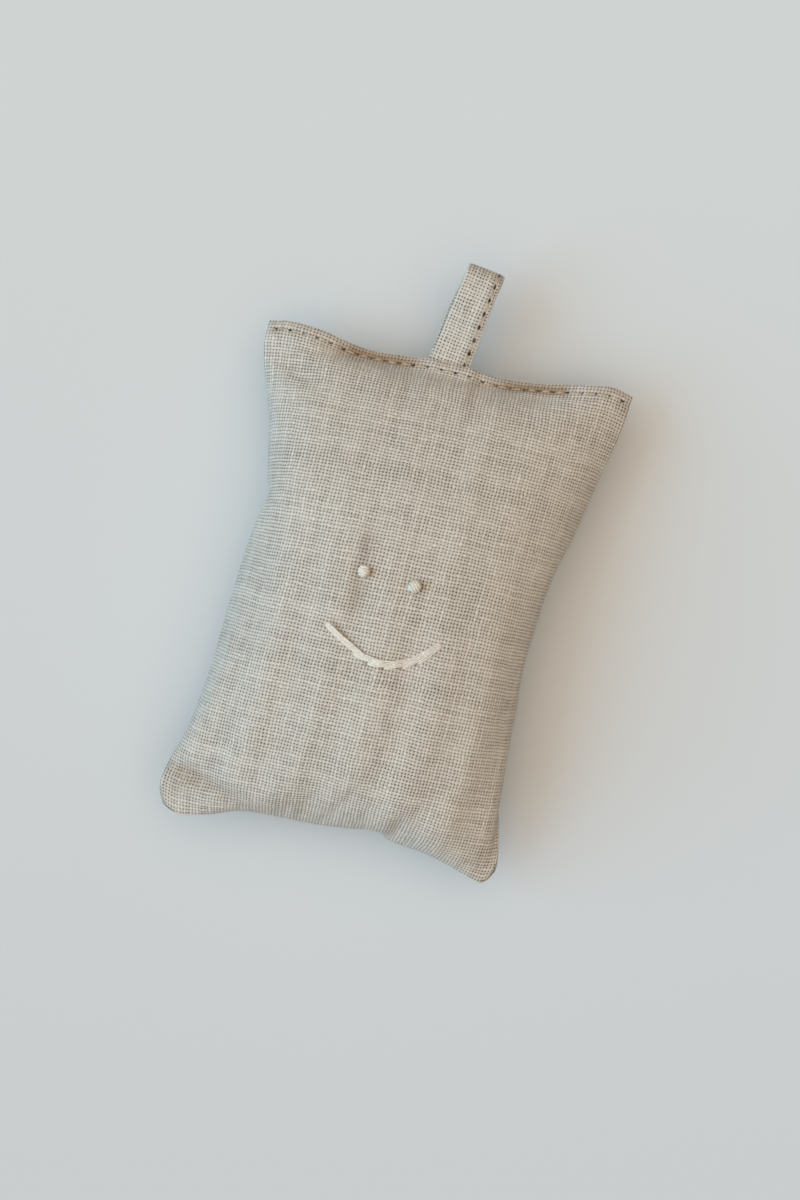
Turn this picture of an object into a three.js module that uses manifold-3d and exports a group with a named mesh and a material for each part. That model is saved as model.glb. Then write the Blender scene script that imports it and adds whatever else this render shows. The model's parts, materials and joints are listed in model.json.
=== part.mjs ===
// Lavender sachet: a small linen pouch filled with dried buds, with a stitched hanging loop.
// Millimetres, +Z up. The pouch lies on its back, the loop points along +Y.
// The origin is the centre of the flat patch that the back rests on.

import * as THREE from 'three';
import { mergeVertices } from 'three/addons/utils/BufferGeometryUtils.js';
import Module from 'manifold-3d';

const wasm = await Module();
wasm.setup();

// Pouch
const pouchWidth = 90;
const pouchLength = 124;
const pouchThickness = 36;
const seamHeight = 17;
const cornerDrop = 2.5;
const restPress = 3;
const linenThickness = 0.6;
const seamAllowance = 7;
const sideSeamGap = 1.0;
const topSeamGap = 0.4;
const foldWall = 1.0;
const pieceClearance = 0.3;

// Top seam
const stitchLength = 3.35;
const stitchInset = 2.2;
const hemBand = 3.4;
const hemWaveHeight = 1.0;
const sewingThread = 0.4;
const threadDip = 0.3;
const needleHoleLength = 1.8;
const needleHoleWidth = 1.0;

// Hanging loop
const tapeWidth = 9.2;
const tapeThickness = 1.0;
const loopLength = 24.4;
const loopHalfGap = 2.95;
const rootHalfGap = 0.8;
const bulbStraight = 4.4;
const tailLength = 6.5;
const loopOffset = 0.2;
const loopLean = THREE.MathUtils.degToRad(8.2);
const edgeStitchInset = 1.3;

// Embroidered face
const knotDiameter = 2.7;
const knotHeight = 1.9;
const flossDiameter = 1.4;
const stemDiameter = 1.0;
const eyeSpacing = 11.8;
const eyeLine = 4.2;
const eyeTilt = 0.4;
const faceOffset = -0.8;
const smileOffset = 0.85;
const smileWidth = 26.7;
const smileTop = -8.1;
const smileDepth = 7.1;
const smileStitchRise = 0.12;
const knotDimple = 0.24;

// Cutters reach this far past what they cut.
const cutOverrun = 1;

// Counts
const columns = 18;
const crownRows = 20;
const hemRows = 2;
const threadSides = 5;
const stepsPerStitch = 4;
const tapeSteps = 32;
const smileStitches = 9;
const placeSteps = 20;
const seamThreadSides = 4;
const knotSides = 12;
const stemHoleSides = 8;
const beadSteps = 8;
const rootSides = 16;

// Outline of the pouch seen from above, as shares of half the width and half the length.
const leftEdgeShares = [
  [-0.924, -0.982], [-0.960, -0.906], [-0.936, -0.800], [-0.873, -0.637], [-0.836, -0.387],
  [-0.818, -0.123], [-0.793, 0.110], [-0.733, 0.255], [-0.769, 0.344], [-0.809, 0.448],
  [-0.849, 0.581], [-0.940, 0.771], [-0.969, 0.871], [-0.967, 0.944],
];
const rightEdgeShares = [
  [0.871, -0.971], [0.896, -0.913], [0.858, -0.769], [0.804, -0.595], [0.800, -0.323],
  [0.780, -0.116], [0.798, 0.053], [0.822, 0.226], [0.884, 0.403], [0.938, 0.623],
  [0.998, 0.842], [1.018, 0.982],
];
const bottomEdgeShares = [
  [-0.924, -0.982], [-0.836, -1.006], [-0.658, -0.976], [-0.471, -0.931], [-0.082, -0.916],
  [0.138, -0.895], [0.227, -0.879], [0.300, -0.911], [0.527, -0.932], [0.762, -0.982],
  [0.829, -0.994], [0.871, -0.971],
];
const topEdgeShares = [
  [-0.967, 0.944], [-0.849, 0.953], [-0.669, 0.945], [-0.462, 0.921], [-0.222, 0.925],
  [-0.087, 0.935], [0.027, 0.936], [0.140, 0.935], [0.262, 0.925], [0.420, 0.935],
  [0.698, 0.969], [0.891, 0.994], [1.018, 0.982],
];

// Other shares: how full the crown is, where the hem waves and where it thickens at the loop,
// and the stretch of each inside seam that has stitches.
const crownAcrossShare = 0.56;
const crownAlongShare = 0.67;
const hemWaveShares = [0.1, 0.3];
const hemBlendShares = [0.8, 1];
const loopSwellShares = [0.1, 0.19];
const topGapShares = [0.84, 0.92];
const sideSeamShares = [0.04, 0.82];
const bottomSeamShares = [0.06, 0.94];
const hemWaves = 2.5;
const dipShare = 0.25;
const slopeStepShare = 0.01;

const halfWidth = pouchWidth / 2;
const halfLength = pouchLength / 2;
const threadRadius = sewingThread / 2;
const foldedHem = 2 * linenThickness;
const frontCrown = pouchThickness - seamHeight - topSeamGap / 2 - foldedHem;
const backCrown = seamHeight - topSeamGap / 2 - foldedHem + restPress;
const tailStack = 2 * tapeThickness + 2 * pieceClearance;

const edgeOf = (shares) => new THREE.SplineCurve(
  shares.map(([across, along]) => new THREE.Vector2(across * halfWidth, along * halfLength)));
const leftEdge = edgeOf(leftEdgeShares);
const rightEdge = edgeOf(rightEdgeShares);
const bottomEdge = edgeOf(bottomEdgeShares);
const topEdge = edgeOf(topEdgeShares);

// The plan blends the four edges: u runs left to right, v from the bottom to the hem.
function plan(u, v) {
  const side = leftEdge.getPointAt(v).multiplyScalar(1 - u)
    .addScaledVector(rightEdge.getPointAt(v), u);
  const end = bottomEdge.getPointAt(u).multiplyScalar(1 - v)
    .addScaledVector(topEdge.getPointAt(u), v);
  const low = bottomEdge.getPointAt(0).multiplyScalar(1 - u)
    .addScaledVector(bottomEdge.getPointAt(1), u);
  const high = topEdge.getPointAt(0).multiplyScalar(1 - u)
    .addScaledVector(topEdge.getPointAt(1), u);
  const corner = low.multiplyScalar(1 - v).addScaledVector(high, v);
  return side.add(end).sub(corner);
}

const smooth = (low, high, value) => THREE.MathUtils.smoothstep(value, low, high);
const bulge = (share, powerShare) => Math.pow(Math.max(0, 1 - (2 * share - 1) ** 2), powerShare);
const fullness = (u, v) => bulge(u, crownAcrossShare) * bulge(v, crownAlongShare);

// Height of the seam plane: the corners droop, and the hem waves away from the loop.
function seamPlane(u, v) {
  const corner = (2 * u - 1) ** 4 * (2 * v - 1) ** 4;
  const away = smooth(...hemWaveShares, Math.abs(u - 0.5)) * smooth(...hemBlendShares, v);
  const wave = hemWaveHeight * Math.sin(2 * Math.PI * hemWaves * u);
  return seamHeight - cornerDrop * corner + wave * away;
}

// Half the gap between the panels: a thread wide at the sides, two tapes thick at the loop.
function halfGap(u, v) {
  const nearTop = smooth(...topGapShares, v);
  const seam = (sideSeamGap + (topSeamGap - sideSeamGap) * nearTop) / 2;
  const nearLoop = 1 - smooth(...loopSwellShares, Math.abs(u - 0.5));
  return seam + (tailStack - topSeamGap) / 2 * nearLoop * nearTop;
}

const hemShare = hemBand / pouchLength;

// Outer face of a panel; side is 1 at the front and -1 at the back.
function outerFace(u, v, side, crown) {
  const rise = crown * fullness(u, Math.min(1, v / (1 - hemShare)));
  const height = seamPlane(u, v) + side * (halfGap(u, v) + foldedHem + rise);
  const at = plan(u, v);
  return new THREE.Vector3(at.x, at.y, Math.max(0, height));
}

// The inner faces start a folded edge in from the outline, and below the hem band.
function innerPlace(uShare, vShare) {
  const sideInset = foldWall / pouchWidth;
  const endInset = foldWall / pouchLength;
  const u = sideInset + uShare * (1 - 2 * sideInset);
  const v = endInset + vShare * (1 - 2 * endInset - hemShare);
  return [u, v];
}

// Inner face of a panel, one cloth thickness in, or the face of the buds further inward.
function innerFace(uShare, vShare, side, crown, inward) {
  const [u, v] = innerPlace(uShare, vShare);
  const rise = crown * fullness(uShare, vShare) - inward;
  const height = seamPlane(u, v) + side * (halfGap(u, v) + linenThickness + rise);
  const at = plan(u, v);
  return new THREE.Vector3(at.x, at.y, Math.max(linenThickness + inward, height));
}

// A point on the allowance, a given distance inside the outline.
function allowancePoint(u, v, inset, offset) {
  const uIn = 0.5 + (u - 0.5) * (1 - 2 * inset / pouchWidth);
  const vIn = 0.5 + (v - 0.5) * (1 - 2 * inset / pouchLength);
  const at = plan(uIn, vIn);
  return new THREE.Vector3(at.x, at.y, seamPlane(uIn, vIn) + offset(uIn, vIn));
}

// Collects vertices as grids and rings, and joins them into one closed skin.
class Skin {
  constructor() {
    this.positions = [];
    this.triangles = [];
  }

  add(point) {
    this.positions.push(point.x, point.y, point.z);
    return this.positions.length / 3 - 1;
  }

  grid(us, vs, face, flip) {
    const rows = vs.map((v) => us.map((u) => this.add(face(u, v))));
    for (let j = 0; j < vs.length - 1; j += 1) {
      for (let i = 0; i < us.length - 1; i += 1) {
        const [a, b, c, d] = [rows[j][i], rows[j][i + 1], rows[j + 1][i + 1], rows[j + 1][i]];
        this.quad(a, b, c, d, flip);
      }
    }
    return rows;
  }

  quad(a, b, c, d, flip) {
    if (flip) {
      this.triangles.push(a, c, b, a, d, c);
    } else {
      this.triangles.push(a, b, c, a, c, d);
    }
  }

  ring(places, point) {
    return places.map(([u, v]) => this.add(point(u, v)));
  }

  band(from, to, flip) {
    from.forEach((a, i) => {
      const next = (i + 1) % from.length;
      this.quad(a, from[next], to[next], to[i], flip);
    });
  }

  geometry() {
    const built = new THREE.BufferGeometry();
    built.setAttribute('position', new THREE.Float32BufferAttribute(this.positions, 3));
    built.setIndex(this.triangles);
    return built;
  }
}

// The outside places of a grid, anticlockwise from the lower left corner.
function outside(us, vs) {
  const low = us.slice(0, -1).map((u) => [u, vs[0]]);
  const right = vs.slice(0, -1).map((v) => [us.at(-1), v]);
  const high = us.slice(1).reverse().map((u) => [u, vs.at(-1)]);
  const left = vs.slice(1).reverse().map((v) => [us[0], v]);
  return [...low, ...right, ...high, ...left];
}

function rim(rows) {
  const last = rows.length - 1;
  const across = rows[0].length - 1;
  const low = rows[0].slice(0, -1);
  const right = rows.slice(0, -1).map((row) => row[across]);
  const high = rows[last].slice(1).reverse();
  const left = rows.slice(1).reverse().map((row) => row[0]);
  return [...low, ...right, ...high, ...left];
}

const rounded = (count) => Array.from({ length: count + 1 },
  (_, i) => (1 - Math.cos(Math.PI * i / count)) / 2);

const uPlaces = rounded(columns);
const vOuter = [
  ...rounded(crownRows).map((share) => share * (1 - hemShare)),
  ...Array.from({ length: hemRows }, (_, i) => 1 - hemShare * (1 - (i + 1) / hemRows)),
];
const vInner = rounded(crownRows + hemRows);

// One panel: crowned outside, its seam allowance turned in all round, open in the middle.
function panelGeometry(side, crown) {
  const skin = new Skin();
  const back = side < 0;
  const outer = skin.grid(uPlaces, vOuter, (u, v) => outerFace(u, v, side, crown), back);
  const inner = skin.grid(uPlaces, vInner, (u, v) => innerFace(u, v, side, crown, 0), !back);
  const places = outside(uPlaces, vOuter);
  const under = (u, v) => side * halfGap(u, v);
  const over = (u, v) => side * (halfGap(u, v) + linenThickness);
  const fold = skin.ring(places, (u, v) => allowancePoint(u, v, 0, under));
  const endUnder = skin.ring(places, (u, v) => allowancePoint(u, v, seamAllowance, under));
  const endOver = skin.ring(places, (u, v) => allowancePoint(u, v, seamAllowance, over));
  const rings = [rim(outer), fold, endUnder, endOver, rim(inner)];
  rings.slice(1).forEach((ring, i) => skin.band(ring, rings[i], back));
  return skin.geometry();
}

// The buds fill the pouch and close round the two allowances.
function fillingGeometry() {
  const skin = new Skin();
  const looseness = 2 * pieceClearance;
  const us = uPlaces.slice(3, -3);
  const vs = vInner.slice(2, -2);
  const places = outside(us, vs);
  const face = (side, crown) => (u, v) => innerFace(u, v, side, crown, looseness);
  const level = (side) => (u, v) => side * (halfGap(u, v) + linenThickness + looseness);
  const lip = (side) => skin.ring(places, (uShare, vShare) => {
    const [u, v] = innerPlace(uShare, vShare);
    const at = plan(u, v);
    return new THREE.Vector3(at.x, at.y, seamPlane(u, v) + level(side)(u, v));
  });
  const spread = (share, list) => (share - list[0]) / (list.at(-1) - list[0]);
  const neck = (side) => skin.ring(places, (u, v) => allowancePoint(
    spread(u, us), spread(v, vs), seamAllowance + 2 * looseness, level(side)));
  const top = skin.grid(us, vs, face(1, frontCrown), false);
  const bottom = skin.grid(us, vs, face(-1, backCrown), true);
  const rings = [rim(top), lip(1), neck(1), neck(-1), lip(-1), rim(bottom)];
  rings.slice(1).forEach((ring, i) => skin.band(ring, rings[i], false));
  return skin.geometry();
}

// Solids for cutting and joining
function toSolid(geometry) {
  const plain = geometry.clone();
  plain.deleteAttribute('normal');
  plain.deleteAttribute('uv');
  const merged = mergeVertices(plain);
  return new wasm.Manifold(new wasm.Mesh({
    numProp: 3,
    vertProperties: new Float32Array(merged.attributes.position.array),
    triVerts: new Uint32Array(merged.index.array),
  }));
}

function fromSolid(solid) {
  const mesh = solid.getMesh();
  const built = new THREE.BufferGeometry();
  built.setAttribute('position', new THREE.Float32BufferAttribute(mesh.vertProperties, 3));
  built.setIndex(Array.from(mesh.triVerts));
  return built;
}

function cut(geometry, cutters) {
  return fromSolid(cutters.reduce(
    (solid, cutter) => solid.subtract(toSolid(cutter)), toSolid(geometry)));
}

// A curve that is sampled evenly in its own parameter, so that each stitch has the same steps.
class EvenCurve extends THREE.Curve {
  constructor(place) {
    super();
    this.place = place;
  }

  getPoint(t) {
    return this.place(t);
  }

  getUtoTmapping(t) {
    return t;
  }
}

function tube(place, steps, radius, sides) {
  const section = new THREE.Shape(new THREE.EllipseCurve(0, 0, radius, radius)
    .getPoints(sides).slice(0, -1));
  return new THREE.ExtrudeGeometry(section, {
    extrudePath: new EvenCurve(place), steps, bevelEnabled: false,
  });
}

// Height of a thread above the cloth: it lies on top and dips into each needle hole.
function stitchHeight(phase) {
  const lying = pieceClearance + threadRadius;
  const share = Math.min(1, Math.abs(phase - Math.round(phase)) / dipShare);
  return -threadDip + (lying + threadDip) * share;
}

// A needle hole: a long hexagon pushed through the cloth along its normal.
function needleHole(centre, along, normal, depth) {
  const [half, wide] = [needleHoleLength / 2, needleHoleWidth / 2];
  const shape = new THREE.Shape([
    [-half, 0], [-half / 2, -wide], [half / 2, -wide],
    [half, 0], [half / 2, wide], [-half / 2, wide],
  ].map(([x, y]) => new THREE.Vector2(x, y)));
  const built = new THREE.ExtrudeGeometry(shape, { depth, bevelEnabled: false });
  built.translate(0, 0, -depth / 2);
  const across = new THREE.Vector3().crossVectors(normal, along).normalize();
  const frame = new THREE.Matrix4().makeBasis(along, across, normal);
  return built.applyMatrix4(frame.setPosition(centre));
}

// Top seam
const topStitches = Math.floor((pouchWidth - 2 * stitchInset) / stitchLength);
const topSeamU = (t) => stitchInset / pouchWidth + t * (1 - 2 * stitchInset / pouchWidth);
const topSeamV = 1 - stitchInset / pouchLength;

function topSeamPoint(t, side, above) {
  const u = topSeamU(t);
  const at = outerFace(u, topSeamV, side, 0);
  return at.setZ(at.z + side * above);
}

const topSeamThread = (side) => tube(
  (t) => topSeamPoint(t, side, stitchHeight(t * topStitches)),
  topStitches * stepsPerStitch, threadRadius, threadSides);

function topSeamHoles(reach) {
  return Array.from({ length: topStitches + 1 }, (_, i) => {
    const t = i / topStitches;
    const front = topSeamPoint(t, 1, 0);
    const centre = front.clone().add(topSeamPoint(t, -1, 0)).divideScalar(2);
    const step = topSeamPoint(Math.min(1, t + 1 / topStitches), 1, 0)
      .sub(topSeamPoint(Math.max(0, t - 1 / topStitches), 1, 0)).setZ(0).normalize();
    return needleHole(centre, step, new THREE.Vector3(0, 0, 1), reach);
  });
}

const holeReach = tailStack + 2 * foldedHem + 2 * cutOverrun;
const seamHoles = topSeamHoles(holeReach);

// Inside seams: the thread runs between the two allowances, beside the folded edge.
const sideInset = 2 * foldWall;
function seamThread(place, length) {
  const stitches = Math.floor(length / stitchLength);
  const run = (t) => {
    const [u, v] = place(t);
    const sway = threadRadius * Math.cos(Math.PI * t * stitches * 2);
    return allowancePoint(u, v, sideInset + sway, () => 0);
  };
  return tube(run, stitches * 2, threadRadius, seamThreadSides);
}

const between = (share, [low, high]) => low + share * (high - low);
const sideThread = (u) => seamThread((t) => [u, between(t, sideSeamShares)], pouchLength);
const bottomThread = () => seamThread((t) => [between(t, bottomSeamShares), 0], pouchWidth);

// Hanging loop, laid out along y from the hem, at the height of the seam plane
const rootRadius = rootHalfGap + tapeThickness;
const loopU = 0.5 + loopOffset / pouchWidth;
const hemAtLoop = plan(loopU, 1);
const hinge = new THREE.Vector3(hemAtLoop.x, hemAtLoop.y + pieceClearance + rootRadius,
  seamPlane(loopU, 1));
const bulbRadius = loopHalfGap + tapeThickness / 2;
const bulbCentre = loopLength - pieceClearance - rootRadius - bulbRadius - tapeThickness / 2;
const legStart = rootHalfGap + tapeThickness / 2;

// Half of the tape's middle line, from the root to the end of the fold.
function legPoint(share) {
  const straight = bulbCentre;
  const bend = bulbRadius * Math.PI / 2;
  const along = share * (straight + bend);
  if (along <= straight) {
    const opened = smooth(0, 1, along / (straight - bulbStraight));
    return [along, legStart + (bulbRadius - legStart) * opened];
  }
  const angle = (along - straight) / bulbRadius;
  return [straight + bulbRadius * Math.sin(angle), bulbRadius * Math.cos(angle)];
}

function tapeLine(t, across = 0, outward = 0) {
  const share = 1 - Math.abs(2 * t - 1);
  const side = t < 0.5 ? 1 : -1;
  const [along, apart] = legPoint(share);
  const [aheadAlong, aheadApart] = legPoint(Math.min(1, share + slopeStepShare));
  const [pastAlong, pastApart] = legPoint(Math.max(0, share - slopeStepShare));
  const slope = new THREE.Vector2(aheadAlong - pastAlong, aheadApart - pastApart).normalize();
  const normal = share > 1 - slopeStepShare
    ? new THREE.Vector2(1, 0)
    : new THREE.Vector2(-slope.y, slope.x);
  return new THREE.Vector3(across, along + normal.x * outward,
    side * (apart + normal.y * outward));
}

const toLoop = (geometry) => geometry.rotateZ(-loopLean).translate(hinge.x, hinge.y, hinge.z);

function tapeGeometry() {
  const [w, h] = [tapeWidth / 2, tapeThickness / 2];
  const section = new THREE.Shape([[-w, -h], [w, -h], [w, h], [-w, h]]
    .map(([x, y]) => new THREE.Vector2(x, y)));
  const strip = new THREE.ExtrudeGeometry(section, {
    extrudePath: new EvenCurve((t) => tapeLine(t)), steps: tapeSteps, bevelEnabled: false,
  });
  const root = new THREE.CylinderGeometry(rootRadius, rootRadius, tapeWidth, rootSides);
  root.rotateZ(Math.PI / 2).translate(hinge.x, hinge.y, hinge.z);
  return fromSolid(toSolid(toLoop(strip)).add(toSolid(root)));
}

// The edge stitching follows the tape from leg to leg, clear of the root at both ends.
const tapeRun = 2 * (bulbCentre + bulbRadius * Math.PI / 2);
const edgeStart = stitchLength / tapeRun;
const edgeStitches = Math.floor((1 - 2 * edgeStart) * tapeRun / stitchLength);
const edgeAcross = tapeWidth / 2 - edgeStitchInset;
const edgeT = (t) => edgeStart + t * (1 - 2 * edgeStart);

const edgeThread = (side) => toLoop(tube(
  (t) => tapeLine(edgeT(t), edgeAcross,
    side * (tapeThickness / 2 + stitchHeight(t * edgeStitches))),
  edgeStitches * stepsPerStitch, threadRadius, threadSides));

const edgeHoles = Array.from({ length: edgeStitches + 1 }, (_, i) => {
  const t = edgeT(i / edgeStitches);
  const centre = tapeLine(t, edgeAcross);
  const normal = tapeLine(t, edgeAcross, 1).sub(centre).normalize();
  const along = new THREE.Vector3(1, 0, 0).cross(normal).normalize();
  return toLoop(needleHole(centre, along, normal, tapeThickness + cutOverrun));
});

// The two caught ends of the tape, pressed together between the hems.
function tailGeometry() {
  const tails = new THREE.BoxGeometry(tapeWidth, tailLength, 2 * tapeThickness);
  return cut(tails.translate(hinge.x, hemAtLoop.y - tailLength / 2, hinge.z), seamHoles);
}

// The place on the front panel above a point of the plan, found by stepping towards it.
// The height is taken on the panel's facets, so that what is sewn on sits on them.
function frontAt(x, y) {
  let [u, v] = [0.5 + x / pouchWidth, 0.5 + y / pouchLength];
  for (let step = 0; step < placeSteps; step += 1) {
    const at = plan(u, v);
    u += (x - at.x) / pouchWidth;
    v += (y - at.y) / pouchLength;
  }
  const i = uPlaces.findIndex((place) => place > u) - 1;
  const j = vOuter.findIndex((place) => place > v) - 1;
  const right = (u - uPlaces[i]) / (uPlaces[i + 1] - uPlaces[i]);
  const up = (v - vOuter[j]) / (vOuter[j + 1] - vOuter[j]);
  const corner = (di, dj) => outerFace(uPlaces[i + di], vOuter[j + dj], 1, frontCrown).z;
  const middle = right > up ? corner(1, 0) : corner(0, 1);
  const [more, less] = [Math.max(right, up), Math.min(right, up)];
  const z = corner(0, 0) * (1 - more) + middle * (more - less) + corner(1, 1) * less;
  return new THREE.Vector3(x, y, z);
}

// Eyes and smile
function knotGeometry() {
  const r = knotDiameter / 2;
  const stem = stemDiameter / 2;
  const below = pieceClearance + linenThickness;
  const bead = new THREE.EllipseCurve(0, 0, r, knotHeight / 2, -Math.PI / 2, Math.PI / 2)
    .getPoints(beadSteps).map((p) => new THREE.Vector2(p.x, p.y + knotHeight / 2 + pieceClearance));
  const seat = bead.slice(1, -1);
  return new THREE.LatheGeometry([
    new THREE.Vector2(0, -below), new THREE.Vector2(stem, -below),
    new THREE.Vector2(stem, pieceClearance), ...seat,
    new THREE.Vector2(stem, knotHeight + pieceClearance - knotDimple / 2),
    new THREE.Vector2(0, knotHeight + pieceClearance - knotDimple),
    new THREE.Vector2(0, -below),
  ], knotSides).rotateX(Math.PI / 2);
}

function eyePlace(side) {
  return frontAt(faceOffset + side * eyeSpacing / 2, eyeLine - side * eyeTilt);
}

function stemHole(place) {
  const radius = stemDiameter / 2 + pieceClearance;
  const depth = 2 * (linenThickness + pieceClearance + cutOverrun);
  return new THREE.CylinderGeometry(radius, radius, depth, stemHoleSides)
    .rotateX(Math.PI / 2).translate(place.x, place.y, place.z);
}

// The smile is a sagging arc of overlapping stitches, a floss thickness above the cloth.
function smilePoint(t) {
  const across = 2 * t - 1;
  const x = smileOffset + smileWidth / 2 * across;
  const y = smileTop - smileDepth * (1 - across * across);
  const place = frontAt(x, y);
  const phase = t * smileStitches;
  const lump = smileStitchRise * Math.abs(Math.sin(Math.PI * phase));
  return place.setZ(place.z + pieceClearance + flossDiameter / 2 + lump);
}

const linen = (name, geometry, color, roughness = 0.95) => {
  const mesh = new THREE.Mesh(geometry, new THREE.MeshStandardMaterial({
    color, roughness, metalness: 0,
  }));
  mesh.name = name;
  return mesh;
};

const flax = 0xb8ab99;
const seamCotton = 0xa8977f;
const cream = 0xe4dccb;
const eyes = [-1, 1].map(eyePlace);
const frontPanel = cut(panelGeometry(1, frontCrown), [...seamHoles, ...eyes.map(stemHole)]);
const backPanel = cut(panelGeometry(-1, backCrown), seamHoles);
const atEye = (place) => knotGeometry().translate(place.x, place.y, place.z);

const sachet = new THREE.Group();
sachet.add(
  linen('front_panel', frontPanel, flax),
  linen('back_panel', backPanel, flax),
  linen('lavender_filling', fillingGeometry(), 0x6d6488),
  linen('hanging_loop', cut(tapeGeometry(), edgeHoles), flax),
  linen('loop_tails', tailGeometry(), flax),
  linen('top_seam_needle_thread', topSeamThread(1), seamCotton, 0.8),
  linen('top_seam_bobbin_thread', topSeamThread(-1), seamCotton, 0.8),
  linen('loop_edge_needle_thread', edgeThread(1), seamCotton, 0.8),
  linen('loop_edge_bobbin_thread', edgeThread(-1), seamCotton, 0.8),
  linen('left_seam_thread', sideThread(0), seamCotton, 0.8),
  linen('right_seam_thread', sideThread(1), seamCotton, 0.8),
  linen('bottom_seam_thread', bottomThread(), seamCotton, 0.8),
  linen('left_eye_knot', atEye(eyes[0]), cream, 0.7),
  linen('right_eye_knot', atEye(eyes[1]), cream, 0.7),
  linen('smile_stitches', tube(smilePoint, smileStitches * stepsPerStitch,
    flossDiameter / 2, threadSides + 1), cream, 0.7),
);

export default sachet;
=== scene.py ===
# %% [markdown]
# # A linen sachet of lavender
# A sachet is two pieces of linen sewn face to face, turned right side out, filled with dried
# buds and closed with a row of top-stitching that also holds a hanging loop. This lesson dresses
# its measured frame: cloth that is inflated by simulation, thread that is swept along its real
# path, and linen whose threads are drawn at their real spacing. All lengths are in metres.

# %% Load the frame
import bpy
import json
import math
import numpy as np
from functools import partial
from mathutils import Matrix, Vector


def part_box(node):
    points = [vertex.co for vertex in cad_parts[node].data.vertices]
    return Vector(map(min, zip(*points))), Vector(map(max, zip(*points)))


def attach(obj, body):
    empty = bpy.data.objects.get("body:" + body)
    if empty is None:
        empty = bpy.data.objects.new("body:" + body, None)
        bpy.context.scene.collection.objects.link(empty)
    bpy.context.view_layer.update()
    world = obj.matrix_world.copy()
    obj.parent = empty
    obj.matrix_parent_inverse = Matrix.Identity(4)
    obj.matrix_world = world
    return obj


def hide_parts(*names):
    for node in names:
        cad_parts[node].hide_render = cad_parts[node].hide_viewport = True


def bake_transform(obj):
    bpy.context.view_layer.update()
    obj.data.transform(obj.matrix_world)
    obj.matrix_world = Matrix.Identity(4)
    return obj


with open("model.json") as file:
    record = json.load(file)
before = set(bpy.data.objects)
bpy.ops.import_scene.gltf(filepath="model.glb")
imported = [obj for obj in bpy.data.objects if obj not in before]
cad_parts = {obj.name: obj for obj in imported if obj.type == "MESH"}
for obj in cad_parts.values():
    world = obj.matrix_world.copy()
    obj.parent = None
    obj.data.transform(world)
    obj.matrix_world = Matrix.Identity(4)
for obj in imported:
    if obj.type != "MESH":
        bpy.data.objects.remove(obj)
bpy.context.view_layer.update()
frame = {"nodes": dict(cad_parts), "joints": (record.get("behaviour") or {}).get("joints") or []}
print("nodes:", sorted(frame["nodes"]))

# %% [markdown]
# ## The sizes that everything follows
# Cloth is cut before it is filled, so the flat size comes first. The thread spacing is that of
# 32-count linen. A needle hole every 3.35 mm is a long machine stitch.

# %% Sizes
MM = 0.001
FLAT_WIDTH, FLAT_LENGTH = 88 * MM, 124 * MM
HALF_WIDTH, HALF_LENGTH = 45 * MM, 62 * MM
THREAD_PITCH = 0.80 * MM
CLOTH = 0.45 * MM
STITCH = 3.35 * MM
STITCH_INSET = 2.2 * MM
THREAD_RADIUS, THREAD_LAY = 0.21 * MM, 1.3 * MM
HEM_HALF = 0.75 * MM
TAPE_WIDTH, TAPE_THICKNESS = 9.2 * MM, 0.95 * MM
ALLOWANCE = 7 * MM


def in_mm(*lengths):
    return [round(float(length) / MM, 2) for length in lengths]


joint = frame["joints"][0]
hinge = Vector(joint["pos_m"])
SEAM_HEIGHT = hinge.z
crown_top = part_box("front_panel")[1][2]
loop_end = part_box("hanging_loop")[1][1]
print("in mm: hinge at", in_mm(*hinge), "crown at", in_mm(crown_top))

# %% [markdown]
# ## The camera
# The photograph looks straight down on a sachet that was laid down a little askew, so the camera
# is turned instead of the object. A 50 mm lens is a common choice for a table-top picture.

# %% Camera
TURN = math.radians(13.5)
CAMERA_PLACE = (2.7 * MM, 0.15 * MM)
CAMERA_ABOVE_SEAM = 400 * MM

camera = bpy.data.objects.new("camera", bpy.data.cameras.new("camera"))
bpy.context.scene.collection.objects.link(camera)
camera.data.lens = 50
camera.data.sensor_fit = "VERTICAL"
camera.data.sensor_height = 36
camera.data.clip_start = 0.01
camera.location = (*CAMERA_PLACE, SEAM_HEIGHT + CAMERA_ABOVE_SEAM)
camera.rotation_euler = (0, 0, TURN)
bpy.context.scene.camera = camera
bpy.context.scene.view_settings.view_transform = "Standard"
print("camera", round(camera.location.z, 3), "m above the table")

# %% [markdown]
# ## Colour and nodes
# A hex colour is how a screen gives a colour, and a shader wants it linear. One helper does
# that, and one adds a node, sets its inputs and links what is passed as a socket. Nodes that
# mix colours or map a range softly share their settings.


# %% Helpers for colour and nodes
def linear(hex_colour):
    parts = [int(hex_colour[i:i + 2], 16) / 255 for i in (1, 3, 5)]
    return tuple(c / 12.92 if c <= 0.04045 else ((c + 0.055) / 1.055) ** 2.4 for c in parts) + (1,)


def add_node(tree, kind, inputs=(), output=0, **settings):
    """Adds a node, fills its inputs by place or by name, and gives one of its outputs."""
    node = tree.nodes.new("ShaderNode" + kind)
    for name, value in settings.items():
        setattr(node, name, value)
    for key, value in (inputs.items() if isinstance(inputs, dict) else enumerate(inputs)):
        if isinstance(value, bpy.types.NodeSocket):
            tree.links.new(value, node.inputs[key])
        else:
            node.inputs[key].default_value = value
    return node.outputs[output]


COLOURS = {"output": 2, "data_type": "RGBA"}
SOFTLY = {"interpolation_type": "SMOOTHSTEP"}


def new_material(name, roughness, sheen=0.0, specular=0.3):
    material = bpy.data.materials.new(name)
    material.use_nodes = True
    shader = material.node_tree.nodes["Principled BSDF"]
    surface = {"Roughness": roughness, "Sheen Weight": sheen, "Sheen Roughness": 0.6,
               "Specular IOR Level": specular}
    for key, value in surface.items():
        shader.inputs[key].default_value = value
    return material, shader, partial(add_node, material.node_tree)


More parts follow.
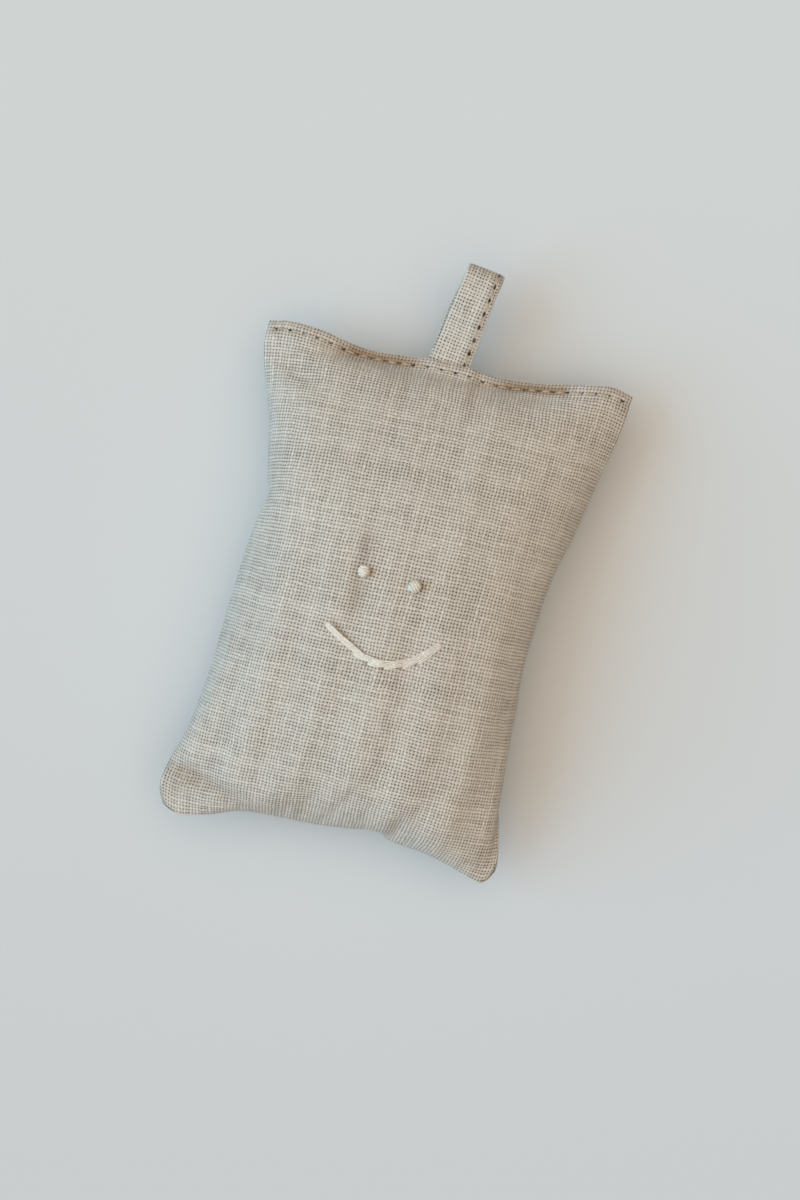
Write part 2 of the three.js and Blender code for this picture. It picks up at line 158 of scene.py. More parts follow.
def finish_material(material, shader, colour, bump):
    for socket, name in ((colour, "Base Color"), (bump, "Normal")):
        material.node_tree.links.new(socket, shader.inputs[name])


# %% [markdown]
# ## Table, light and air
# The picture is lit by a cool window low on the left, and a warm room fills the shadow. A sun with
# a wide angle stands for the window. The world stands for the room: brightest overhead, where the
# ceiling is, and brighter on the window's side. Together they light a level surface at about one,
# so a colour renders as it is written. The camera and reflections see a plain pale wall instead.

# %% Floor and light
WINDOW = (0.12, 0.255, 0.375)
ROOM = (0.88, 0.745, 0.625)
WINDOW_ELEVATION = math.radians(33)
WINDOW_FROM = TURN + math.radians(183)
WINDOW_WIDTH = math.radians(56)
OVERHEAD = 3.5
ONE_SIDED = 0.2
# The table is painted lighter far off and darker near: a painted light falloff down the camera's
# view.
TABLE_FAR, TABLE_NEAR = "#cfd3d2", "#c9cdce"
TABLE_REACH = 3.0
PICTURE_TOP, PICTURE_BOTTOM = -0.12, 0.14

floor = bpy.data.objects.new("table_top", bpy.data.meshes.new("table_top"))
corners = [(x * TABLE_REACH, y * TABLE_REACH, 0) for x, y in ((-1, -1), (1, -1), (1, 1), (-1, 1))]
floor.data.from_pydata(corners, [], [(0, 1, 2, 3)])
bpy.context.scene.collection.objects.link(floor)
floor.location.z = -0.05 * MM
paint, shader, add = new_material("matte_painted_table", 0.7, specular=0.1)
# Painted light falloff: the table's colour darkens towards the bottom of the camera's view.
down_picture = add("VectorMath", (add("NewGeometry"), (math.sin(TURN), -math.cos(TURN), 0.0)),
                   output=1, operation="DOT_PRODUCT")
painted_falloff = add("MapRange", (down_picture, PICTURE_TOP, PICTURE_BOTTOM, 0.0, 1.0))
colour = add("Mix", {0: painted_falloff, 6: linear(TABLE_FAR), 7: linear(TABLE_NEAR)}, **COLOURS)
paint.node_tree.links.new(colour, shader.inputs["Base Color"])
floor.data.materials.append(paint)

sun = bpy.data.objects.new("window", bpy.data.lights.new("window", "SUN"))
bpy.context.scene.collection.objects.link(sun)
strongest = max(WINDOW)
sun.data.energy = math.pi * strongest / math.sin(WINDOW_ELEVATION)
sun.data.color = tuple(c / strongest for c in WINDOW)
sun.data.angle = WINDOW_WIDTH
towards = Vector((math.cos(WINDOW_FROM) * math.cos(WINDOW_ELEVATION),
                  math.sin(WINDOW_FROM) * math.cos(WINDOW_ELEVATION), math.sin(WINDOW_ELEVATION)))
sun.rotation_euler = towards.to_track_quat("Z", "Y").to_euler()

world = bpy.data.worlds.new("room")
world.use_nodes = True
add = partial(add_node, world.node_tree)
heading = add("TexCoord")
height = add("Math", (add("SeparateXYZ", (heading,), output=2), 0.0), operation="MAXIMUM")
overhead = add("Math", (height, OVERHEAD), operation="POWER")
window_side = (math.cos(WINDOW_FROM), math.sin(WINDOW_FROM), 0.0)
sideways = add("VectorMath", (heading, window_side), output=1, operation="DOT_PRODUCT")
leaning = add("Math", (sideways, ONE_SIDED, 1.0), operation="MULTIPLY_ADD")
strength = add("Math", (overhead, leaning), operation="MULTIPLY")
level = add("Math", (strength, 1 + OVERHEAD / 2), operation="MULTIPLY")
seen = 0.0
for kind in ("Camera", "Glossy", "Transmission"):
    ray = add("LightPath", output=f"Is {kind} Ray")
    seen = add("Math", (ray, seen), operation="MAXIMUM")
shown = add("Mix", {0: seen, 6: (*ROOM, 1), 7: linear(TABLE_FAR)}, **COLOURS)
power = add("Mix", {0: seen, 2: level, 3: 1.0})
background = world.node_tree.nodes["Background"]
world.node_tree.links.new(shown, background.inputs["Color"])
world.node_tree.links.new(power, background.inputs["Strength"])
bpy.context.scene.world = world
print("window energy", round(sun.data.energy, 3))

# %% [markdown]
# ## Linen
# Linen is spun from flax and woven plain, one over and one under. Flax doesn't spin evenly, so
# each thread has its own width and tone and swells into slubs. Between four threads there is an
# open hole, and the shade in it is painted as a dark dot. The tops of the threads get a painted
# highlight and their low parts painted shade. The weave is drawn from the cloth's own flat
# coordinates, kept in a UV map in metres, so it bends with the cloth and never stretches. Deep in
# a fold, light that has bounced between two linen walls turns tan, so a mask that is worked out
# with the shape paints tan shade into the folds and the tape's stitched groove, beside the knots
# and the smile, into the holes where floss goes in and over the lower left ear, and puts a tan
# spot under the tack. The needle holes get painted shade too.

# %% The linen material
# The two flax colours are the threads' own tones; the two gap colours are painted shade in the
# holes between threads.
PALE_FLAX, GREY_FLAX, OPEN_GAP, DEEP_GAP = "#dfd8cd", "#b6ad9d", "#4f4538", "#150f09"
# The tan of painted shade, the brown of painted shade in needle holes, and the own colour of flax
# shives.
PAINTED_SHADE_TAN, HOLE_BROWN, SHIVE = "#b0906a", "#2c2218", "#7a6a54"
WANDER = ((0.07, 2.0, 1.3), (0.5, 1.0, 0.5))  # noise scale, detail, and how far, in threads
NARROWEST, SLUB_WIDTH, OWN_WIDTH = 0.215, 0.26, 0.08  # half of a thread's width, in threads
SLUB_RATE = 0.16  # how fast a slub swells and fades along a thread
LIES_AT, RISES_BY = 0.68, 0.32  # height of a thread, and its way over and under
GAP_COVER, THREAD_COVER = 0.06, 0.86
WEAVE_RELIEF = 0.20 * MM


def linen(name, holes):
    material, shader, add = new_material(name, 0.92, sheen=0.12, specular=0.2)
    flat = add("UVMap", uv_map="weave")
    count = add("VectorMath", {0: flat, "Scale": 1 / THREAD_PITCH}, operation="SCALE")
    strayed = count
    for scale, detail, far in WANDER:
        noise = add("TexNoise", {"Vector": count, "Scale": scale, "Detail": detail}, output=1)
        centred = add("VectorMath", (noise, (0.5, 0.5, 0.5)), operation="SUBTRACT")
        strayed = add("VectorMath", (centred, (far, far, 0), strayed), operation="MULTIPLY_ADD")
    warp_count, weft_count = (add("SeparateXYZ", (strayed,), output=k) for k in (0, 1))

    def thread(across, along, way):
        """One set of threads: how much they cover, how high they lie, and their shade."""
        number = add("Math", (across,), operation="FLOOR")
        place = add("Math", (add("Math", (across,), operation="FRACT"), 0.5), operation="SUBTRACT")
        key_at = add("CombineXYZ", (number, way * 7.0, 0.0))
        key = add("TexWhiteNoise", {"Vector": key_at}, noise_dimensions="2D")
        slow = add("Math", (along, SLUB_RATE), operation="MULTIPLY")
        own_start = add("Math", (number, 3.7), operation="MULTIPLY")
        slub_at = add("CombineXYZ", (own_start, slow, way * 5.0))
        slub = add("TexNoise", {"Vector": slub_at, "Scale": 1.0, "Detail": 3.0})
        swell = add("Math", (slub, SLUB_WIDTH, NARROWEST), operation="MULTIPLY_ADD")
        width = add("Math", (key, OWN_WIDTH, swell), operation="MULTIPLY_ADD")
        ratio = add("Math", (place, width), operation="DIVIDE")
        squared = add("Math", (ratio, ratio), operation="MULTIPLY")
        left_over = add("Math", (squared, -1.0, 1.0), operation="MULTIPLY_ADD")
        round_part = add("Math", (left_over, 0.0), operation="MAXIMUM")
        cover = add("Math", (round_part,), operation="SQRT")
        turn = add("Math", (number, way - 0.5), operation="ADD")
        crossing = add("Math", (along, turn), operation="ADD")
        half_turns = add("Math", (crossing, math.pi), operation="MULTIPLY")
        wave = add("Math", (half_turns,), operation="COSINE")
        lift = add("Math", (wave, RISES_BY, LIES_AT), operation="MULTIPLY_ADD")
        height = add("Math", (cover, lift), operation="MULTIPLY")
        own_shade = add("Math", (key, 0.25, -0.12), operation="MULTIPLY_ADD")
        shade = add("Math", (slub, own_shade), operation="ADD")
        return cover, height, shade

    warp_cover, warp_height, warp_shade = thread(warp_count, weft_count, 0.0)
    weft_cover, weft_height, weft_shade = thread(weft_count, warp_count, 1.0)
    cover = add("Math", (warp_cover, weft_cover), operation="MAXIMUM")
    height = add("Math", (warp_height, weft_height), operation="MAXIMUM")
    warp_on_top = add("Math", (warp_height, weft_height), operation="GREATER_THAN")
    shade = add("Mix", {0: warp_on_top, 2: weft_shade, 3: warp_shade})
    flax = add("Mix", {0: shade, 6: linear(GREY_FLAX), 7: linear(PALE_FLAX)}, **COLOURS)
    # Painted shade in the open holes between the threads: a dark dot, deeper in some holes than in
    # others.
    streak_at = add("VectorMath", (count, (0.22, 0.035, 1.0)), operation="MULTIPLY")
    streak = add("TexNoise", {"Vector": streak_at, "Scale": 1.0, "Detail": 3.0})
    between = add("VectorMath", (strayed, (0.5, 0.5, 0)))
    gap_at = add("VectorMath", (between,), operation="FLOOR")
    each = add("TexWhiteNoise", {"Vector": gap_at}, noise_dimensions="2D")
    openness = add("Math", (each, 0.50, streak), operation="MULTIPLY_ADD")
    depth = add("MapRange", (openness, 0.50, 1.00, 0.0, 1.0), **SOFTLY)
    dark = add("Mix", {0: depth, 6: linear(OPEN_GAP), 7: linear(DEEP_GAP)}, **COLOURS)
    filled = add("MapRange", (cover, GAP_COVER, THREAD_COVER, 0.0, 1.0), **SOFTLY)
    colour = add("Mix", {0: filled, 6: dark, 7: flax}, **COLOURS)
    # Painted highlight and shade: the tops of the threads lighter, their low parts darker.
    crown = add("MapRange", (height, 0.3, 1.0, 0.76, 1.05))
    colour = add("Mix", {0: 1.0, 6: colour, 7: add("CombineColor", (crown, crown, crown))},
                 blend_type="MULTIPLY", **COLOURS)
    fleck_at = add("TexVoronoi", {"Vector": count, "Scale": 0.05}, output=0)
    fleck = add("MapRange", (fleck_at, 0.012, 0.035, 0.75, 0.0), **SOFTLY)
    colour = add("Mix", {0: fleck, 6: colour, 7: linear(SHIVE)}, **COLOURS)
    # Painted shade, tinted tan, from a mask that is worked out with the shape.
    painted_shade = add("Attribute", attribute_name="painted_shade", output=2)
    tanned = add("Mix", {0: 1.0, 6: colour, 7: linear(PAINTED_SHADE_TAN)}, blend_type="MULTIPLY",
                 **COLOURS)
    colour = add("Mix", {0: painted_shade, 6: colour, 7: tanned}, **COLOURS)
    # Painted shade in the needle holes.
    colour = add("Mix", {0: holes(add, flat), 6: colour, 7: linear(HOLE_BROWN)}, **COLOURS)
    bump = add("Bump", {"Strength": 0.8, "Distance": WEAVE_RELIEF, "Height": height})
    finish_material(material, shader, colour, bump)
    return material


# %% Needle holes, and the linen of the panels
def needle_holes(line_at, first, along_x, long, wide, faintest):
    """A mask of painted shade in needle holes on a stitch line of the flat cloth, each a little
    different.
    """
    def mask(add, flat):
        along = add("SeparateXYZ", (flat,), output=0 if along_x else 1)
        across = add("SeparateXYZ", (flat,), output=1 if along_x else 0)
        steps = add("Math", (along, 1 / STITCH, 0.5 - first / STITCH), operation="MULTIPLY_ADD")
        off = add("Math", (add("Math", (steps,), operation="FRACT"), 0.5), operation="SUBTRACT")
        number = add("CombineXYZ", (add("Math", (steps,), operation="FLOOR"), 0.0, 0.0))
        strength = add("TexWhiteNoise", {"Vector": number}, noise_dimensions="2D")
        ahead = add("Math", (off, STITCH / long), operation="MULTIPLY")
        aside = add("Math", (across, 1 / wide, -line_at / wide), operation="MULTIPLY_ADD")
        from_hole = add("CombineXYZ", (ahead, aside, 0.0))
        away = add("VectorMath", (from_hole,), output=1, operation="LENGTH")
        core = add("MapRange", (away, 0.45, 1.0, 1.0, 0.0), **SOFTLY)
        share = add("MapRange", (strength, 0.0, 1.0, faintest, 1.0))
        return add("Math", (core, share), operation="MULTIPLY")
    return mask


TOP_LINE = FLAT_LENGTH / 2 - STITCH_INSET
END_MARGIN = 2.2 * MM
FIRST_HOLE = -FLAT_WIDTH / 2 + END_MARGIN
panel_linen = linen("natural_linen_plain_weave",
                    needle_holes(TOP_LINE, FIRST_HOLE, True, 0.66 * MM, 0.38 * MM, 0.5))
print("threads per cm", round(0.01 / THREAD_PITCH, 1))

# %% [markdown]
# ## Cotton thread and floss
# Sewing cotton is two plies twisted together, matte and close to the linen in colour. Floss is
# mercerised: the fibres lie straight and smooth, so it is paler and has a soft sheen.


# %% Thread materials
FIBRE, FIBRE_RELIEF = 0.3 * MM, 0.05 * MM


def spun(name, light, shade, roughness, sheen):
    material, shader, add = new_material(name, roughness, sheen=sheen)
    where = add("NewGeometry")
    fibres = add("TexNoise", {"Vector": where, "Scale": 1 / FIBRE, "Detail": 3.0})
    spread = add("MapRange", (fibres, 0.3, 0.7, 0.0, 1.0), **SOFTLY)
    colour = add("Mix", {0: spread, 6: linear(shade), 7: linear(light)}, **COLOURS)
    bump = add("Bump", {"Strength": 0.5, "Distance": FIBRE_RELIEF, "Height": fibres})
    finish_material(material, shader, colour, bump)
    return material


sewing_cotton = spun("spun_sewing_cotton", "#c3b6a1", "#9d8e77", 0.85, 0.1)
cream_floss = spun("mercerised_cotton_floss", "#f3eee3", "#cfc7b6", 0.6, 0.2)
print("thread materials:", sewing_cotton.name, cream_floss.name)

# %% [markdown]
# ## The outline of the filled pouch
# Filling pulls the sides in and leaves the corners standing out like ears. The four edges are
# the ones that the frame was built on, as shares of half the width and half the length.

# %% Outline
LEFT_EDGE = [(-0.924, -0.982), (-0.960, -0.906), (-0.936, -0.800), (-0.873, -0.637),
             (-0.836, -0.387), (-0.818, -0.123), (-0.793, 0.110), (-0.733, 0.255),
             (-0.769, 0.344), (-0.809, 0.448), (-0.849, 0.581), (-0.940, 0.771),
             (-0.969, 0.871), (-0.967, 0.944)]
RIGHT_EDGE = [(0.871, -0.971), (0.896, -0.913), (0.858, -0.769), (0.804, -0.595),
              (0.800, -0.323), (0.780, -0.116), (0.798, 0.053), (0.822, 0.226),
              (0.884, 0.403), (0.938, 0.623), (0.998, 0.842), (1.018, 0.982)]
BOTTOM_EDGE = [(-0.924, -0.982), (-0.836, -1.006), (-0.658, -0.976), (-0.471, -0.931),
               (-0.082, -0.916), (0.138, -0.895), (0.227, -0.879), (0.300, -0.911),
               (0.527, -0.932), (0.762, -0.982), (0.829, -0.994), (0.871, -0.971)]
TOP_EDGE = [(-0.967, 0.944), (-0.849, 0.953), (-0.669, 0.945), (-0.462, 0.921),
            (-0.222, 0.925), (-0.087, 0.935), (0.027, 0.936), (0.140, 0.935),
            (0.262, 0.925), (0.420, 0.935), (0.698, 0.969), (0.891, 0.994), (1.018, 0.982)]
ACROSS, ALONG = 72, 100


def smooth_at(values, at):
    """Values at fractional places, on a cubic through the four nearest."""
    padded = np.concatenate([2 * values[:1] - values[1:2], values, 2 * values[-1:] - values[-2:-1]])
    k = np.clip(at.astype(int), 0, len(values) - 2)
    t = (at - k).reshape(-1, *[1] * (values.ndim - 1))
    a, b, c, d = (padded[k + n] for n in range(4))
    return b + 0.5 * t * (c - a + t * (2 * a - 5 * b + 4 * c - d + t * (3 * (b - c) + d - a)))


def even_line(points, count):
    """Evenly spaced points on a smooth line."""
    points = np.array(points, float)
    fine = smooth_at(points, np.linspace(0, len(points) - 1, 24 * len(points)))
    run = np.concatenate([[0], np.cumsum(np.linalg.norm(np.diff(fine, axis=0), axis=1))])
    at = np.linspace(0, run[-1], count + 1)
    return np.stack([np.interp(at, run, fine[:, k]) for k in (0, 1)], axis=1)


half_sizes = np.array([HALF_WIDTH, HALF_LENGTH])
left, right = (even_line(np.array(edge) * half_sizes, ALONG) for edge in (LEFT_EDGE, RIGHT_EDGE))
bottom, top = (even_line(np.array(edge) * half_sizes, ACROSS) for edge in (BOTTOM_EDGE, TOP_EDGE))
u = np.linspace(0, 1, ACROSS + 1)[None, :, None]
v = np.linspace(0, 1, ALONG + 1)[:, None, None]
from_corners = ((1 - v) * ((1 - u) * bottom[0] + u * bottom[-1])
                + v * ((1 - u) * top[0] + u * top[-1]))
plan = (1 - u) * left[:, None] + u * right[:, None] + (1 - v) * bottom + v * top - from_corners
print("width at the middle, mm:", in_mm(right[ALONG // 2, 0] - left[ALONG // 2, 0]))

# %% [markdown]
# ## Filling the pouch
# Cloth that is cut flat and then filled finds its own crown, its drawn-in sides and the small
# puckers beside the seams. So the two panels start flat, are joined at their edges and blown up
# by pressure, while a shape key carries the seam to its measured outline. The model is ten times
# larger than life while it is simulated, because the solver likes pieces of about a metre.

# %% Where the seam lies, and where the hem thickens
SIM_SCALE = 10.0
PUFF = 4 * MM
CORNER_DROP = 2.5 * MM
HEM_WAVE = 1.4 * MM
HEM_ROWS = 4
SEAM_GAP = 0.08 * MM
SMOOTHING = 3
GATHERED_FRAME, LAST_FRAME = 14, 36
SIM_SETTINGS = {"quality": 7, "mass": 0.25, "air_damping": 3.0, "tension_stiffness": 30,
                "compression_stiffness": 30, "shear_stiffness": 12, "bending_stiffness": 1.2,
                "vertex_group_mass": "held", "use_pressure": True,
                "uniform_pressure_force": 80.0}


def smoothstep(value, low, high):
    t = np.clip((value - low) / (high - low), 0, 1)
    return t * t * (3 - 2 * t)


def flat_place(u, v):
    return (u - 0.5) * FLAT_WIDTH, (v - 0.5) * FLAT_LENGTH


def hem_wave(u):
    """The hem sways up and down, but lies level where the loop is caught."""
    return HEM_WAVE * np.sin(5 * np.pi * u) * smoothstep(abs(u - 0.5), 0.08, 0.24)


def sunk_share(u):
    """How far the hem has sunk, from 0 where it lies up to 1 where the pouch bulges over it."""
    return smoothstep(-hem_wave(u), 0.1 * HEM_WAVE, 0.8 * HEM_WAVE)


U, V = np.meshgrid(np.linspace(0, 1, ACROSS + 1), np.linspace(0, 1, ALONG + 1))
seam = (SEAM_HEIGHT - CORNER_DROP * (2 * U - 1) ** 4 * (2 * V - 1) ** 4
        + hem_wave(U) * smoothstep(V, 0.8, 1))
from_tape = abs(plan[..., 0] - hinge.x)
near_loop = 1 - smoothstep(from_tape, TAPE_WIDTH / 2 + 0.3 * MM, TAPE_WIDTH / 2 + 3 * MM)
gap = SEAM_GAP + TAPE_THICKNESS * near_loop * smoothstep(V, 0.86, 0.94)
flat_x, flat_y = flat_place(U, V)
rim = np.ones(U.shape, bool)
rim[1:-1, 1:-1] = False
inner = ~rim
index_front = np.arange(U.size).reshape(U.shape)
index_back = index_front.copy()
index_back[inner] = U.size + np.arange(inner.sum())
print("seam from and to, mm:", in_mm(seam.min(), seam.max()))


# %% Simulate the filling
def pouch_cloud(filled):
    """All the points of both panels, flat on the table or gathered to the outline."""
    x, y = (plan[..., 0], plan[..., 1]) if filled else (flat_x, flat_y)
    middle = seam if filled else np.full_like(seam, SEAM_HEIGHT)
    dome = PUFF * np.sin(np.pi * U) * np.sin(np.pi * V)
    hem = HEM_HALF * smoothstep(V, 1 - 2 * HEM_ROWS / ALONG, 1 - HEM_ROWS / ALONG)
    rise = np.where(rim, 0, np.maximum(dome, hem))
    front = np.stack([x, y, middle + rise], axis=-1).reshape(-1, 3)
    back = np.stack([x, y, middle - rise], axis=-1)[inner]
    return np.vstack([front, back]) * SIM_SCALE


def quads(index, flip=False):
    a, b, c, d = index[:-1, :-1], index[:-1, 1:], index[1:, 1:], index[1:, :-1]
    order = (a, d, c, b) if flip else (a, b, c, d)
    return np.stack([part.ravel() for part in order], axis=1).tolist()


def simulate():
    mesh = bpy.data.meshes.new("pouch_cloth")
    mesh.from_pydata(pouch_cloud(False).tolist(), [], quads(index_front) + quads(index_back, True))
    cloth_object = bpy.data.objects.new("pouch_cloth", mesh)
    bpy.context.scene.collection.objects.link(cloth_object)
    held = cloth_object.vertex_groups.new(name="held")
    in_hem = (1 - V) * ALONG < HEM_ROWS - 1.7 * sunk_share(U) - 0.5
    pinned = set(index_front[rim | in_hem].tolist()) | set(index_back[in_hem].tolist())
    held.add(sorted(pinned), 1.0, "REPLACE")
    cloth_object.shape_key_add(name="flat")
    gathered = cloth_object.shape_key_add(name="gathered")
    gathered.data.foreach_set("co", pouch_cloud(True).ravel())
    for at, value in ((1, 0.0), (GATHERED_FRAME, 1.0)):
        gathered.value = value
        gathered.keyframe_insert("value", frame=at)
    cloth = cloth_object.modifiers.new("filling", "CLOTH")
    for key, value in SIM_SETTINGS.items():
        setattr(cloth.settings, key, value)
    cloth.settings.effector_weights.gravity = 0
    cloth.collision_settings.use_collision = False
    for step in range(1, LAST_FRAME + 1):
        bpy.context.scene.frame_set(step)
    shaped = cloth_object.evaluated_get(bpy.context.evaluated_depsgraph_get())
    points = np.empty(len(mesh.vertices) * 3)
    shaped.data.vertices.foreach_get("co", points)
    bpy.context.scene.frame_set(1)
    bpy.data.objects.remove(cloth_object)
    return points.reshape(-1, 3) / SIM_SCALE


filled = simulate()
for step in range(SMOOTHING):
    for index in (index_front, index_back):
        grid = filled[index]
        around = (grid[:-2, 1:-1] + grid[2:, 1:-1] + grid[1:-1, :-2] + grid[1:-1, 2:]) / 4
        filled[index[1:-1, 1:-1]] += 0.5 * (around - grid[1:-1, 1:-1])
print("filled from and to, mm:", in_mm(filled[:, 2].min(), filled[:, 2].max()))

# %% [markdown]
# ## From bare surface to cloth
# The simulation knows nothing of the table, so the back is flattened on it. The grid is then
# made finer, most of all at the hem, and gets what is too small to simulate: the soft flutes of
# loose linen over buds, the puffed fold above the stitching, a dent at each needle hole, and the
# places where the embroidery pulls the cloth in.

# %% Places that pull the cloth in
EYES = {}
for side_name in ("left", "right"):
    low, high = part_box(side_name + "_eye_knot")
    EYES[side_name] = ((low[0] + high[0]) / 2, (low[1] + high[1]) / 2)
SMILE = [(-12.6, -8.5), (-9.3, -11.0), (-6.2, -13.0), (-3.2, -14.6), (-0.2, -15.4), (2.8, -15.3),
         (5.8, -14.6), (8.5, -13.3), (10.9, -11.4), (12.9, -9.4), (14.5, -7.6)]
STEM_STITCHES = [(0.00, 0.29), (0.05, 0.41), (0.29, 0.54), (0.41, 0.66), (0.53, 0.78), (0.66, 0.91),
                 (0.77, 1.00)]
OUTWARD, INWARD = 0.42 * MM, 0.30 * MM
smile = even_line(np.array(SMILE) * MM, 80)
stem_stitches = []
for share in STEM_STITCHES:
    first, last = smooth_at(smile, np.array(share) * (len(smile) - 1))
    aside = np.array([-(last - first)[1], (last - first)[0]]) / np.linalg.norm(last - first)
    stem_stitches.append((first - aside * OUTWARD, last + aside * INWARD, aside))
print("eyes at, mm:", {name: in_mm(*place) for name, place in EYES.items()})


def bell(distance, width):
    return np.exp(-(distance / width) ** 2)


def valley(x, y, start, end, width):
    """A soft groove along a segment, 1 in its middle and 0 away from it."""
    (x0, y0), (x1, y1) = np.array(start) * MM, np.array(end) * MM
    length = math.hypot(x1 - x0, y1 - y0)
    along = ((x - x0) * (x1 - x0) + (y - y0) * (y1 - y0)) / length
    aside = ((x - x0) * (y1 - y0) - (y - y0) * (x1 - x0)) / length
    soft = 2 * width
    ends = smoothstep(along, -soft, soft) * smoothstep(length - along, -soft, soft)
    return bell(aside, width) * ends


# %% Finer grids with their small forms
FLUTE, DENT, FOLD_RISE = 0.30 * MM, 0.28 * MM, 0.45 * MM
ROLL_RISE, ROW_DEPTH = 0.10 * MM, 0.08 * MM
CREASE_DEPTH, EAR_DEPTH = 0.22 * MM, 1.0 * MM
EYE_DEPTH, SMILE_DEPTH = 0.35 * MM, 0.30 * MM
HEM_DEPTH = 6 * MM
CREASE = ((-7.8, 14.5), (-7.2, -5.5))  # where it starts and ends, in mm
EAR_FOLD = ((-41.4, -50.9), (-22.6, -55.4))
EAR_SHADE, TACK_SHADE = (-38.4 * MM, -54.4 * MM), (-41.6 * MM, 55.9 * MM)
FINE_ACROSS, FINE_ALONG, FINE_HEM = 144, 190, 20
fine_u = np.linspace(0, 1, FINE_ACROSS + 1)
hem_starts = 1 - HEM_DEPTH / FLAT_LENGTH
fine_v = np.concatenate([np.linspace(0, hem_starts, FINE_ALONG),
                         np.linspace(hem_starts, 1, FINE_HEM + 1)[1:]])
FINE_U, FINE_V = np.meshgrid(fine_u, fine_v)


def resample(values, at_u, at_v):
    rows = smooth_at(values, at_v * (len(values) - 1))
    return np.swapaxes(smooth_at(np.swapaxes(rows, 0, 1), at_u * (values.shape[1] - 1)), 0, 1)


def unit(vectors):
    return vectors / np.linalg.norm(vectors, axis=-1, keepdims=True)


def normals_of(grid, side):
    return unit(np.cross(np.gradient(grid, axis=1), np.gradient(grid, axis=0)) * side)


def table_press(z):
    """Flattens what would sink below the table, with a soft shoulder."""
    soft = 0.6 * MM
    return np.where(z > 4 * soft, z, soft * np.log1p(np.exp(np.minimum(z, 5 * soft) / soft)))


# %% The small forms of loose linen
def small_forms(grid, side):
    """How far each point moves out of the cloth, and how much painted shade it gets."""
    flat_x, flat_y = flat_place(FINE_U, FINE_V)
    below_fold = FLAT_LENGTH / 2 - flat_y
    edge = np.minimum.reduce([FINE_U, 1 - FINE_U, 1.4 * FINE_V, 1.4 - 1.4 * FINE_V])
    lower = smoothstep(0.62 - FINE_V, 0.0, 0.35)
    flutes = (np.cos(flat_x / (2.1 * MM) + 1.3 * np.sin(flat_y / (16 * MM)))
              + 0.6 * np.cos(flat_x / (3.7 * MM) + 0.8 + flat_y / (40 * MM)))
    push = FLUTE * flutes * (0.25 + 0.75 * lower) * smoothstep(edge, 0.02, 0.16)
    off = (flat_x - FIRST_HOLE) / STITCH
    off = (off - np.round(off)) * STITCH
    push += ROLL_RISE * bell(below_fold - STITCH_INSET / 2, 0.7 * MM)
    push -= ROW_DEPTH * bell(below_fold - STITCH_INSET, 0.7 * MM)
    push -= DENT * bell(np.hypot(off, below_fold - STITCH_INSET), 0.55 * MM)
    # Painted shade on the hem: a little all along it, and deep where the pouch bulges over it.
    left_tuck = smoothstep(FINE_U, 0.17, 0.25) * smoothstep(0.46 - FINE_U, 0.0, 0.10)
    right_tuck = smoothstep(FINE_U, 0.56, 0.70) * smoothstep(0.85 - FINE_U, 0.0, 0.05)
    painted_shade = (0.12 + 0.74 * (left_tuck + right_tuck)) * bell(below_fold - 2.0 * MM, 1.6 * MM)
    if side > 0:
        x, y = grid[..., 0], grid[..., 1]
        crease = valley(x, y, *CREASE, 1.9 * MM)
        ear = valley(x, y, *EAR_FOLD, 2.1 * MM)
        push -= CREASE_DEPTH * crease + EAR_DEPTH * ear
        # Painted shade in the crease and the ear's fold, and over the lower left ear as it turns
        # away from the light.
        ear_shade = bell(np.hypot(x - EAR_SHADE[0], y - EAR_SHADE[1]), 4 * MM)
        painted_shade += 0.34 * crease + 0.24 * ear + 0.26 * ear_shade
        for place in EYES.values():
            push -= EYE_DEPTH * bell(np.hypot(x - place[0], y - place[1]), 2.4 * MM)
            # Painted shadow of each knot, just beside it.
            painted_shade += 0.5 * bell(np.hypot(x - place[0] - 1.3 * MM, y - place[1] - 0.2 * MM), 0.9 * MM)
        from_smile = np.min(np.hypot(x[..., None] - smile[::2, 0],
                                     y[..., None] - smile[::2, 1]), axis=-1)
        push -= SMILE_DEPTH * bell(from_smile, 1.5 * MM)
        # Painted shadow of the floss beside the left half of the smile.
        inside = np.min(np.hypot(x[..., None] - smile[2:50:2, 0] - 1.05 * MM,
                                 y[..., None] - smile[2:50:2, 1] - 0.55 * MM), axis=-1)
        painted_shade += 0.75 * bell(inside, 0.65 * MM)
        # Painted shade in the holes where the stem stitches from the fourth on go into the cloth.
        for first, last, aside in stem_stitches[3:]:
            hole = first - 0.14 * MM * aside
            painted_shade += 1.0 * bell(np.hypot(x - hole[0], y - hole[1]), 0.50 * MM)
        # A tan spot under the tack at the left end of the top seam.
        painted_shade += 0.5 * bell(np.hypot(x - TACK_SHADE[0], y - TACK_SHADE[1]), 0.9 * MM)
    return push, np.clip(painted_shade, 0, 1)


# %% Shape both panels
def cover_turn_in(grid, side):
    """Lifts the cloth off the layers that are turned in at the lower corners."""
    from_side = np.minimum(FINE_U, 1 - FINE_U) * FLAT_WIDTH
    from_edge = np.minimum(from_side, FINE_V * FLAT_LENGTH)
    near_corners = smoothstep(from_edge, 0, 1.2 * MM) * smoothstep(0.5 - FINE_V, 0, 0.3)
    middle, half_gap = np.moveaxis(resample(np.stack([seam, gap], axis=-1), fine_u, fine_v), -1, 0)
    room = (half_gap + 1.3 * CLOTH) * near_corners
    grid[..., 2] = middle + side * np.maximum(side * (grid[..., 2] - middle), room)


